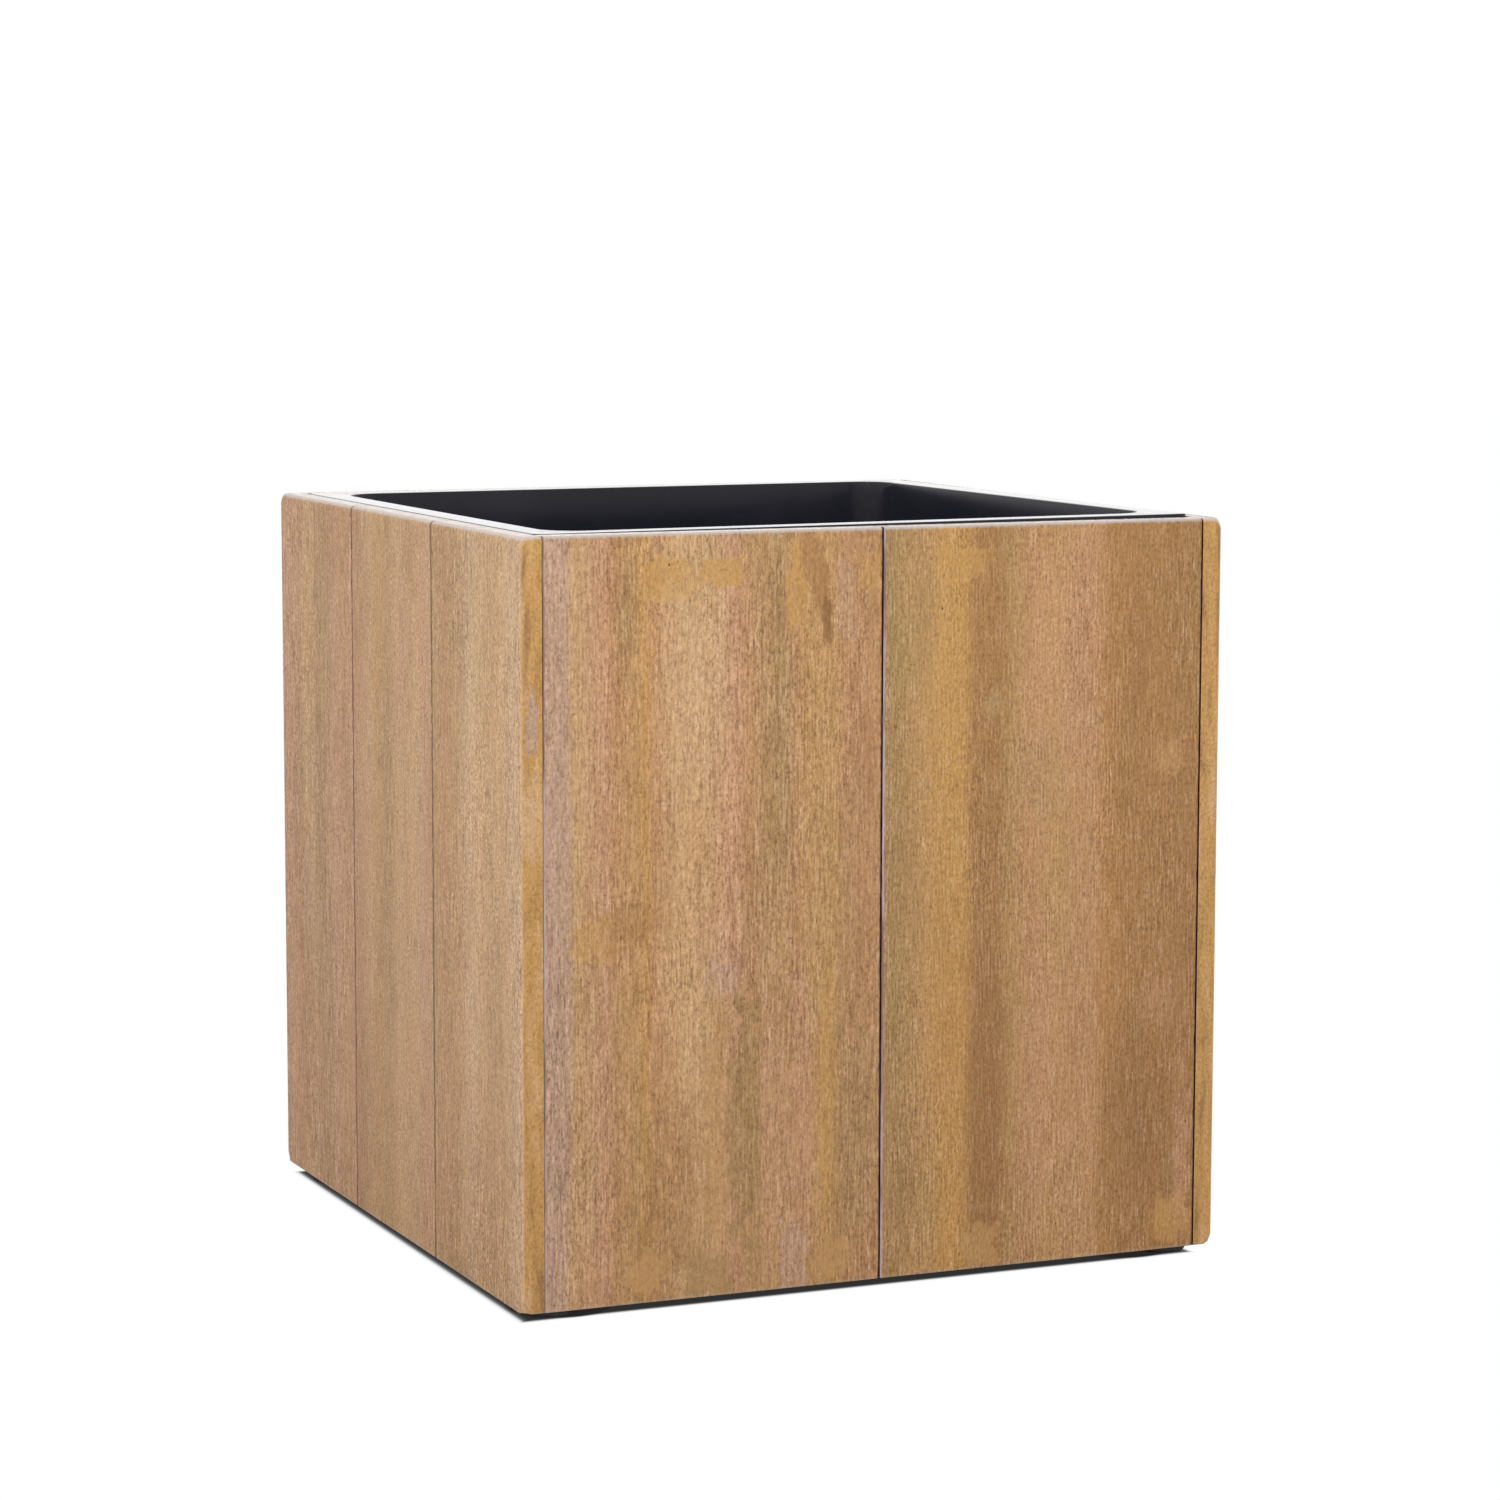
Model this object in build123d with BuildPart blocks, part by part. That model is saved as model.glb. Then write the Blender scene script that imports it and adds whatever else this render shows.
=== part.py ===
from build123d import *
from dataclasses import dataclass
import math
import os

# Cube planter: upright hardwood boards around a hidden frame, and a black plastic liner that lifts out.
# Z is up, the front faces -Y, and the origin is at floor level under the middle. Millimetres.

os.makedirs("parts", exist_ok=True)

# Wooden case
case_width = 500.0
case_depth = 500.0
case_height = 500.0
foot_height = 6.0

# Boards
board_thickness = 15.0
board_reveal = 1.0            # gap that shows between two boards
corner_reveal = 0.5           # gap between a side panel and the panel set in against it
joint_chamfer = 0.8
corner_round = 4.0            # upright outer corners of the case
side_end_round = 3.0          # top and bottom edges of the side panels
set_in_end_round = 1.2        # the same on the panels set in between them
tongue_thickness = 5.0
tongue_length = 5.0
tongue_side_clearance = 0.2
tongue_end_clearance = 0.6

# Frame behind the boards
post_size = 24.0
frame_drop = 20.0             # top of the boards down to the top of the posts and top rails
top_rail_thickness = 14.0
top_rail_height = 40.0
bottom_rail_thickness = 22.0
bottom_rail_height = 32.0
bottom_rail_lift = 8.0        # underside of the boards up to the bottom rails
rail_end_clearance = 0.3
slat_count = 5
slat_gap = 17.0
slat_thickness = 14.0
slat_end_clearance = 1.5
slat_post_clearance = 2.0
edge_ease = 1.0

# Liner
liner_wall = 2.5
liner_floor = 3.0
liner_rim_width = 19.0
liner_rim_gap = 1.5           # between the boards and the rim's lip
liner_rim_proud = 1.0         # rim above the top of the boards
liner_lip_depth = 9.0
liner_rim_corner = 7.0
liner_post_clearance = 2.4    # between the mouth's corners and the posts
liner_corner_growth = 4.0     # how much rounder the corners are at the floor than at the mouth
liner_lean = 16.0             # how far each wall leans in from the mouth to the floor
liner_floor_round = 9.0
liner_rim_round = 0.8
drain_diameter = 10.0
drain_spacing_x = 220.0

# Feet
foot_diameter = 36.0
foot_edge_round = 1.5

# Countersunk wood screws
screw_diameter = 4.0
screw_head_diameter = 8.0
screw_head_angle = 90.0
screw_tip_height = 4.0
screw_clearance = 0.1
screw_sink = 0.5              # head below the face it is driven into
board_bite = 10.0             # screw length inside a board
rail_bite = 10.0              # slat screw length inside a bottom rail
post_bite = 22.0              # foot screw length inside a post
rail_screw_inset = 35.0       # from a board's upright edges to its rail screws
rail_screw_end = 16.0         # least distance from a rail's end to its screws
slat_screw_inset = 17.0       # from a slat's long edges to its screws
post_screw_count = 3
post_screw_margin = 25.0      # between the rails or slats and the nearest post screw
post_screw_stagger = 12.0     # height between the screws of a post's two faces

# Levels
board_height = case_height - foot_height
frame_top = case_height - frame_drop
top_rail_bottom = frame_top - top_rail_height
bottom_rail_bottom = foot_height + bottom_rail_lift
slat_bottom = bottom_rail_bottom + bottom_rail_height
slat_top = slat_bottom + slat_thickness
rim_top = case_height + liner_rim_proud

# Plan sizes
inner_width = case_width - 2 * board_thickness
inner_depth = case_depth - 2 * board_thickness
post_x = inner_width / 2 - post_size / 2
post_y = inner_depth / 2 - post_size / 2
set_in_length = inner_width - 2 * corner_reveal

match_tolerance = 0.01        # for telling which face an edge lies on, and whether it is level


@dataclass
class Rail:
    """One of the two rails behind each panel."""

    thickness: float
    height: float
    bottom: float


@dataclass
class Panel:
    """One side of the case. In its plan plane x runs along it, anticlockwise from above, and y inwards."""

    plan: Plane
    length: float
    rail_length: float
    post_reach: float         # middle of the panel to the middle of each post
    stagger: float
    full_depth: bool          # its end boards turn the case's corners
    end_round: float          # at the top and bottom of its face
    places: tuple             # where each board is, in the order they come along the panel


rails = {
    "top": Rail(top_rail_thickness, top_rail_height, top_rail_bottom),
    "bottom": Rail(bottom_rail_thickness, bottom_rail_height, bottom_rail_bottom),
}


def side_panel(side, places):
    """Full-depth panel on the left (-1) or right (1)."""
    plan = Plane(origin=(side * case_width / 2, 0, 0), x_dir=(0, side, 0), z_dir=(0, 0, 1))
    rail_length = inner_depth - 2 * (post_size + rail_end_clearance)
    stagger = post_screw_stagger / 2
    return Panel(plan, case_depth, rail_length, post_y, stagger, True, side_end_round, places)


def set_in_panel(side, places):
    """Panel between the side panels, at the front (-1) or back (1)."""
    plan = Plane(origin=(0, side * case_depth / 2, 0), x_dir=(-side, 0, 0), z_dir=(0, 0, 1))
    rail_length = inner_width - 2 * (post_size + rail_end_clearance)
    stagger = -post_screw_stagger / 2
    return Panel(plan, set_in_length, rail_length, post_x, stagger, False, set_in_end_round, places)


panels = {
    "left": side_panel(-1, ("back", "middle", "front")),
    "front": set_in_panel(-1, ("left", "right")),
    "right": side_panel(1, ("front", "middle", "back")),
    "back": set_in_panel(1, ("right", "left")),
}
corners = {
    "front_left": (-post_x, -post_y),
    "front_right": (post_x, -post_y),
    "back_right": (post_x, post_y),
    "back_left": (-post_x, post_y),
}


def board_spans(panel):
    """Start and end of each board's face along the panel."""
    pitch = (panel.length + board_reveal) / len(panel.places)
    starts = [index * pitch - panel.length / 2 for index in range(len(panel.places))]
    return [(start, start + pitch - board_reveal) for start in starts]


# Screw places: planes on the face that a screw is driven into, looking out of the wood
def inner_face(panel, x, depth, height):
    """Plane at a depth behind the panel's outer face, looking into the case."""
    origin = panel.plan.from_local_coords(Vector(x, depth, height))
    return Plane(origin=origin, x_dir=panel.plan.x_dir, z_dir=panel.plan.y_dir)


def rail_screw_points(panel, rail):
    """Two screws through the rail into each board, as (along the panel, height)."""
    reach = panel.rail_length / 2 - rail_screw_end
    height = rail.bottom + rail.height / 2
    points = []
    for start, end in board_spans(panel):
        for x in (start + rail_screw_inset, end - rail_screw_inset):
            points.append((max(-reach, min(reach, x)), height))
    return points


def post_screw_points(panel):
    """Screws through both posts into the panel, as (along the panel, height)."""
    low = slat_top + post_screw_margin + panel.stagger
    high = top_rail_bottom - post_screw_margin + panel.stagger
    step = (high - low) / (post_screw_count - 1)
    heights = [low + index * step for index in range(post_screw_count)]
    return [(side * panel.post_reach, height) for side in (-1, 1) for height in heights]


def board_pilots(panel, start, end):
    """Places on the inner face of one board where screws enter it."""
    points = post_screw_points(panel)
    for rail in rails.values():
        points += rail_screw_points(panel, rail)
    return [inner_face(panel, x, board_thickness, z) for x, z in points if start < x < end]


def rail_screw_places(panel, rail):
    depth = board_thickness + rail.thickness
    return [inner_face(panel, x, depth, z) for x, z in rail_screw_points(panel, rail)]


def post_screw_places(panel):
    depth = board_thickness + post_size
    return [inner_face(panel, x, depth, z) for x, z in post_screw_points(panel)]


slat_pitch = (inner_depth - 2 * (post_size + slat_post_clearance) + slat_gap) / slat_count
slat_width = slat_pitch - slat_gap
slat_lines = [(index - (slat_count - 1) / 2) * slat_pitch for index in range(slat_count)]
slat_screw_x = inner_width / 2 - bottom_rail_thickness / 2


def slat_screw_points(line):
    """The screws of one slat, two at each end."""
    reach = slat_width / 2 - slat_screw_inset
    spots = [line - reach, line + reach]
    return [(side * slat_screw_x, y) for side in (-1, 1) for y in spots]


def foot_screw_place(x, y):
    return Plane(origin=(x, y, 0), x_dir=(1, 0, 0), z_dir=(0, 0, -1))


# Shared features
def finish(piece, label):
    """Names a piece and writes it."""
    piece.part.label = label
    export_step(piece.part, f"parts/{label}.step")


def screw_seats(places):
    """Countersunk clearance holes through the piece being built."""
    with Locations(*places):
        CounterSinkHole(
            radius=screw_diameter / 2 + screw_clearance,
            counter_sink_radius=screw_head_diameter / 2 + screw_sink + 2 * screw_clearance,
            counter_sink_angle=screw_head_angle,
        )


def screw_pilots(places, bite):
    """Blind holes for the ends of screws in the piece being built."""
    with Locations(*places):
        Hole(radius=screw_diameter / 2 + screw_clearance, depth=bite + screw_clearance)


def make_screws(places, length, label):
    """A group of equal screws, each as long as it reaches below the face it is driven into."""
    head_radius, shank_radius = screw_head_diameter / 2, screw_diameter / 2
    head_height = (head_radius - shank_radius) / math.tan(math.radians(screw_head_angle / 2))
    with BuildPart() as screw:
        with BuildSketch(Plane.XZ):
            with BuildLine():
                Polyline(
                    (0, -screw_sink),
                    (head_radius, -screw_sink),
                    (shank_radius, -screw_sink - head_height),
                    (shank_radius, screw_tip_height - length),
                    (0, -length),
                    close=True,
                )
            make_face()
        revolve(axis=Axis.Z)
    with BuildPart() as group:
        with Locations(*places):
            add(screw.part)
    finish(group, label)


def on_case_outside(edge):
    """True for a level edge of the case's outer faces, or of its rounded corners."""
    middle = edge.center()
    depth = min(case_width / 2 - abs(middle.X), case_depth / 2 - abs(middle.Y))
    limit = corner_round if edge.geom_type == GeomType.CIRCLE else match_tolerance
    return abs(edge.tangent_at(0.5).Z) < match_tolerance and depth < limit


# Boards: tongue on one edge, groove on the other, chamfered at every joint that shows
for side, panel in panels.items():
    last = len(panel.places) - 1
    for index, (start, end) in enumerate(board_spans(panel)):
        with BuildPart() as board:
            with BuildSketch(panel.plan.offset(foot_height)) as outline:
                with Locations(((start + end) / 2, board_thickness / 2)):
                    Rectangle(end - start, board_thickness)
                for x, outermost in ((start, index == 0), (end, index == last)):
                    corner = outline.vertices().sort_by_distance((x, 0))[0]
                    if panel.full_depth and outermost:
                        fillet(corner, corner_round)
                    else:
                        chamfer(corner, joint_chamfer)
                if index < last:
                    reach = board_reveal + tongue_length
                    with Locations((end + reach / 2, board_thickness / 2)):
                        Rectangle(reach, tongue_thickness)
                if index > 0:
                    reach = tongue_length + tongue_end_clearance
                    with Locations((start + reach / 2, board_thickness / 2)):
                        groove = tongue_thickness + 2 * tongue_side_clearance
                        Rectangle(reach, groove, mode=Mode.SUBTRACT)
            extrude(amount=board_height)
            fillet(board.edges().filter_by(on_case_outside), panel.end_round)
            screw_pilots(board_pilots(panel, start, end), board_bite)
        finish(board, f"{side}_board_{panel.places[index]}")

# Posts in the four corners
post_places = [place for panel in panels.values() for place in post_screw_places(panel)]
for corner, (x, y) in corners.items():
    with BuildPart() as post:
        with BuildSketch(Plane.XY.offset(foot_height)):
            with Locations((x, y)):
                Rectangle(post_size, post_size)
        extrude(amount=frame_top - foot_height)
        inner_edge = post.edges().filter_by(Axis.Z).sort_by_distance((0, 0, frame_top / 2))[0]
        fillet(inner_edge, edge_ease)
        screw_seats([p for p in post_places if p.origin.X * x > 0 and p.origin.Y * y > 0])
        bottom = Plane(origin=(x, y, foot_height), x_dir=(1, 0, 0), z_dir=(0, 0, -1))
        screw_pilots([bottom], post_bite)
    finish(post, f"corner_post_{corner}")

# Rails between the posts, top and bottom
slat_pilots = [
    Plane(origin=(x, y, slat_bottom)) for line in slat_lines for x, y in slat_screw_points(line)
]
for side, panel in panels.items():
    for level, rail in rails.items():
        with BuildPart() as piece:
            with BuildSketch(panel.plan.offset(rail.bottom)):
                with Locations((0, board_thickness + rail.thickness / 2)):
                    Rectangle(panel.rail_length, rail.thickness)
            extrude(amount=rail.height)
            centre = panel.plan.from_local_coords(Vector(0, case_depth, rail.bottom + rail.height / 2))
            exposed = piece.faces().sort_by_distance(centre)[0]
            fillet(exposed.edges(), edge_ease)
            screw_seats(rail_screw_places(panel, rail))
            if level == "bottom" and side in ("left", "right"):
                sign = 1 if side == "right" else -1
                screw_pilots([p for p in slat_pilots if p.origin.X * sign > 0], rail_bite)
        finish(piece, f"{level}_rail_{side}")

# Floor slats across the side rails
for index, line in enumerate(slat_lines):
    with BuildPart() as slat:
        with BuildSketch(Plane.XY.offset(slat_bottom)):
            with Locations((0, line)):
                Rectangle(inner_width - 2 * slat_end_clearance, slat_width)
        extrude(amount=slat_thickness)
        fillet(slat.faces().sort_by(Axis.Z)[-1].edges(), edge_ease)
        screw_seats([Plane(origin=(x, y, slat_top)) for x, y in slat_screw_points(line)])
    finish(slat, f"floor_slat_{index + 1}")

# Liner: tapered tub with a flat rim and a turned-down lip, standing on the slats
mouth = [size - 2 * (liner_rim_gap + liner_rim_width) for size in (inner_width, inner_depth)]
floor = [size - 2 * liner_lean for size in mouth]
rim = [size - 2 * liner_rim_gap for size in (inner_width, inner_depth)]

# The drains open between the slats, two before the middle and two behind it
drain_spacing_y = (slat_count - 2) * slat_pitch

# The mouth's corners are round enough to pass inside the corners of the posts
wall_past_post = post_size - (liner_rim_gap + liner_rim_width - liner_wall)
mouth_corner = (wall_past_post + liner_post_clearance) / (1 - math.sqrt(0.5)) - liner_wall
floor_corner = mouth_corner + liner_corner_growth


def rounded(size, grow, corner, mode=Mode.ADD):
    """Rounded rectangle grown by the same amount all round."""
    RectangleRounded(size[0] + 2 * grow, size[1] + 2 * grow, corner + grow, mode=mode)


def tapered_tub(bottom, grow):
    """Solid tub up to the rim's top, its floor at a height and its walls grown outwards."""
    with BuildPart() as tub:
        with BuildSketch(Plane.XY.offset(bottom)):
            rounded(floor, grow, floor_corner)
        with BuildSketch(Plane.XY.offset(rim_top)):
            rounded(mouth, grow, mouth_corner)
        loft(ruled=True)
        fillet(tub.faces().sort_by(Axis.Z)[0].edges(), liner_floor_round + grow)
    return tub.part


outside = tapered_tub(slat_top, liner_wall)
inside = tapered_tub(slat_top + liner_floor, 0)
with BuildPart() as liner:
    add(outside)
    with BuildSketch(Plane.XY.offset(rim_top - liner_wall)):
        rounded(rim, 0, liner_rim_corner)
    extrude(amount=liner_wall)
    with BuildSketch(Plane.XY.offset(rim_top - liner_lip_depth)):
        rounded(rim, 0, liner_rim_corner)
        rounded(rim, -liner_wall, liner_rim_corner, mode=Mode.SUBTRACT)
    extrude(amount=liner_lip_depth)
    add(inside, mode=Mode.SUBTRACT)
    fillet(liner.faces().sort_by(Axis.Z)[-1].edges(), liner_rim_round)
    with Locations(Plane.XY.offset(slat_top + liner_floor)):
        with GridLocations(drain_spacing_x, drain_spacing_y, 2, 2):
            Hole(drain_diameter / 2, depth=liner_floor)
finish(liner, "liner")

# Feet under the posts
for corner, (x, y) in corners.items():
    with BuildPart() as foot:
        with BuildSketch():
            with Locations((x, y)):
                Circle(foot_diameter / 2)
        extrude(amount=foot_height)
        fillet(foot.faces().sort_by(Axis.Z)[0].edges(), foot_edge_round)
        screw_seats([foot_screw_place(x, y)])
    finish(foot, f"foot_{corner}")

# Screws
for level, rail in rails.items():
    places = [place for panel in panels.values() for place in rail_screw_places(panel, rail)]
    make_screws(places, rail.thickness + board_bite, f"{level}_rail_screws")
make_screws(post_places, post_size + board_bite, "post_screws")
slat_places = [place.offset(slat_thickness) for place in slat_pilots]
make_screws(slat_places, slat_thickness + rail_bite, "slat_screws")
foot_places = [foot_screw_place(x, y) for x, y in corners.values()]
make_screws(foot_places, foot_height + post_bite, "foot_screws")
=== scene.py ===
import math
import random

import bmesh
import bpy
from mathutils import Matrix, Vector, noise


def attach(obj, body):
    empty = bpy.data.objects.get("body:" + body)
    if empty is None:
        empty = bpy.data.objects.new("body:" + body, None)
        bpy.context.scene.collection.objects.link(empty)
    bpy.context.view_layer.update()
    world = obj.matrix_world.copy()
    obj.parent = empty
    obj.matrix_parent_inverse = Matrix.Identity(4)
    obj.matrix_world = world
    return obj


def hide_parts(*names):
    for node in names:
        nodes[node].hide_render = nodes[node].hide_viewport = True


# Cube planter: brushed hardwood boards round a hidden frame, with a black plastic liner let in from above.
# Metres, Z up, the front faces -Y, the origin is at floor level under the middle.

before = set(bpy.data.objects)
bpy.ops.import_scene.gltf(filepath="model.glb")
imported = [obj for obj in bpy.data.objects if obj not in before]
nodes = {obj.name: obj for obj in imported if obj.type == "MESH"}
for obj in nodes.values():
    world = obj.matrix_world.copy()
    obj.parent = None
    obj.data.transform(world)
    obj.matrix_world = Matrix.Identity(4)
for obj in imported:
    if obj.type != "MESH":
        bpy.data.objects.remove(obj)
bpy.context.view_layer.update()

MM = 0.001

# Case, as in the CAD model
CASE = 500 * MM
FOOT_HEIGHT = 6 * MM
BOARD_THICKNESS = 15 * MM
BOARD_REVEAL = 1 * MM
CORNER_REVEAL = 0.5 * MM
JOINT_CHAMFER = 0.8 * MM
CORNER_ROUND = 4 * MM
SIDE_END_ROUND = 3 * MM
SET_IN_END_ROUND = 1.2 * MM
TONGUE = 5 * MM
TONGUE_SIDE_CLEARANCE = 0.2 * MM
TONGUE_END_CLEARANCE = 0.6 * MM

# Hand sanding of the case: how far it reaches from each corner, how deep it goes there, and how much of it
# and of the rounding of the ends is left at the foot of the boards
TIP_REACH = 6.5 * MM
TIP_SANDED = 4.2 * MM
FOOT_TIP_SHARE = 0.45
FOOT_ROUND_SHARE = 0.25

# Rings and points of the board meshes
ROUND_STEPS = 8
END_STEPS = 4
BOARD_RINGS = 120
RINGS_PAST_ROUND = (1.3 * MM, 2.6 * MM)
FACE_STEP = 6 * MM
FINE_FACE_STEP = 3 * MM
BACK_STEPS = 6
EDGE_STEPS = 5
END_GRAIN_MAP = 10
SMOOTH_ANGLE = math.radians(30)

# Uneven face and nicked edges of the boards
SWELL = 0.16 * MM
WEAR = 1 * MM
WEAR_REACH = 1.2 * MM
WEAR_ON_FACE = 0.2

# Looks of the boards: level of the tones, fibres per metre along, their strength, stain at the chamfers
SIDE_LOOK = (0.95, 420, 1.22, 0.55)
SET_IN_LOOK = (1.0, 320, 0.86, 1.0)
FIRST_SEED, SEED_STEP = 1.3, 3.7
FIRST_DRAW = 100
MOST_STAVES = 30

# Liner: from what height its rim is out of true, from where to the sides and by how much, and the height of
# its polished face
RIM_FROM = 490 * MM
RIM_BEND_FROM = 200 * MM
RIM_BEND_SPAN = 430 * MM
RIM_RISE = 1.3 * MM
RIM_DROP = 0.7 * MM
RIM_POLISHED = 498.5 * MM
MERGE = 0.01 * MM

# Screws: how near the points of one face are, the shank, and the sides of the head, the core and the thread
SAME_FACE = 0.1 * MM
SHANK_RADIUS = 2 * MM
HEAD_SIDES = 24
CORE_SIDES = 12
RIDGE_SIDES = 3

# Shade on the floor in mm inside the planter's outline, with its level. The outline is set in at the right
# and at the back. Each foot darkens a round patch.
SHADE_SET_IN = 11 * MM
SHADE_FROM, SHADE_TO = -2, 20
SIDE_SHADE = (
    (-1.4, 1.0), (-0.3, 0.965), (0.8, 0.9), (1.8, 0.745), (2.8, 0.48), (3.9, 0.2), (5, 0.09), (8, 0.03),
)
FRONT_SHADE = (
    (1.5, 1.0), (3.6, 0.97), (4.8, 0.86), (6, 0.62), (7.2, 0.27), (8.6, 0.08), (11, 0.018), (16, 0.005),
)
FOOT_SHADE = 205 * MM
FOOT_SHADE_INNER, FOOT_SHADE_OUTER = 31.2 * MM, 36.2 * MM
FOOT_SHADE_COLOUR = (0.02, 0.019, 0.019, 1)
FLOOR_COLOUR = (0.62, 0.62, 0.62, 1)
FLOOR_REACH = 12.0

# Light and camera: places in metres, power in watts, turns in radians, sensor and lens in millimetres
SURROUNDINGS = 1.2
KEY_PLACE, KEY_AIM = (-2.2, -2.4, 2.6), (0, 0, 0.3)
KEY_SIZE = 1.6
KEY_POWER = 30
CAMERA_PLACE = (-1.1611, -2.7088, 0.6821)
CAMERA_YAW, CAMERA_PITCH, CAMERA_ROLL = -0.409594, 0.119619, 0.001878
CAMERA_SENSOR, CAMERA_LENS = 36, 101.5


# ---------------------------------------------------------------- node trees
class Tree:
    """Short way to write a shader or geometry node tree."""

    def __init__(self, tree):
        self.tree = tree

    def node(self, kind, inputs=None, **settings):
        made = self.tree.nodes.new(kind)
        for name, value in settings.items():
            setattr(made, name, value)
        for name, value in (inputs or {}).items():
            self.feed(made.inputs[name], value)
        return made

    def feed(self, socket, value):
        if isinstance(value, bpy.types.NodeSocket):
            self.tree.links.new(value, socket)
        else:
            socket.default_value = value

    def math(self, operation, a, b=0.0, c=0.0, clamp=False):
        inputs = {0: a, 1: b}
        if operation in ("MULTIPLY_ADD", "SMOOTH_MAX", "SMOOTH_MIN"):
            inputs[2] = c
        return self.node("ShaderNodeMath", inputs, operation=operation, use_clamp=clamp).outputs[0]

    def product(self, a, b):
        return self.math("MULTIPLY", a, b)

    def axes(self, place):
        """X, Y and Z of a place."""
        return self.node("ShaderNodeSeparateXYZ", {0: place}).outputs

    def vector(self, x=0.0, y=0.0, z=0.0):
        return self.node("ShaderNodeCombineXYZ", {"X": x, "Y": y, "Z": z}).outputs[0]

    def coordinates(self):
        """Place on the object, in its own metres."""
        return self.node("ShaderNodeTexCoord").outputs["Object"]

    def steps(self, value, low, high, to_low=0.0, to_high=1.0, smooth=True):
        """Value taken from one range to another, held at both ends."""
        kind = "SMOOTHSTEP" if smooth else "LINEAR"
        inputs = {"Value": value, "From Min": low, "From Max": high, "To Min": to_low, "To Max": to_high}
        return self.node("ShaderNodeMapRange", inputs, interpolation_type=kind).outputs[0]

    def colour(self, factor, a, b, blend="MIX"):
        made = self.node("ShaderNodeMix", data_type="RGBA", blend_type=blend)
        self.feed(made.inputs["Factor"], factor)
        self.feed(made.inputs[6], a)
        self.feed(made.inputs[7], b)
        return made.outputs[2]

    def stretch(self, place, scale, shift=(0, 0, 0)):
        """Place scaled and shifted, so that a pattern on it is drawn out."""
        inputs = {0: place, 1: scale, 2: shift}
        return self.node("ShaderNodeVectorMath", inputs, operation="MULTIPLY_ADD").outputs[0]

    def cloud(self, place, detail=2.0, roughness=0.5, distortion=0.0):
        inputs = {
            "Vector": place, "Scale": 1.0, "Detail": detail, "Roughness": roughness, "Distortion": distortion,
        }
        return self.node("ShaderNodeTexNoise", inputs).outputs[0]

    def ramp(self, value, stops, kind="LINEAR"):
        made = self.node("ShaderNodeValToRGB", {0: value})
        made.color_ramp.interpolation = kind
        elements = made.color_ramp.elements
        while len(elements) < len(stops):
            elements.new(1.0)
        for element, (position, _) in zip(elements, stops):
            element.position = position
        for element, (_, colour) in zip(elements, stops):
            element.color = colour
        return made.outputs[0]

    def shared(self, group, inputs):
        """Outputs of a shared group placed here with its own values."""
        made = self.node("ShaderNodeGroup", node_tree=group)
        for name, value in inputs.items():
            self.feed(made.inputs[name], value)
        return made.outputs


def shared_group(name, inputs, outputs):
    """Shader node group that gives numbers. Returns its tree, what it is given and the sockets it fills."""
    tree = bpy.data.node_groups.new(name, "ShaderNodeTree")
    for socket, kind, value in inputs:
        made = tree.interface.new_socket(socket, in_out="INPUT", socket_type=f"NodeSocket{kind}")
        if value is not None:
            made.default_value = value
    for socket in outputs:
        tree.interface.new_socket(socket, in_out="OUTPUT", socket_type="NodeSocketFloat")
    t = Tree(tree)
    return t, t.node("NodeGroupInput").outputs, t.node("NodeGroupOutput").inputs


def linear(red, green, blue):
    """Linear colour of a tone given as 0 to 255 display values."""
    def one(value):
        value /= 255
        return value / 12.92 if value <= 0.04045 else ((value + 0.055) / 1.055) ** 2.4
    return (one(red), one(green), one(blue), 1.0)


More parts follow.
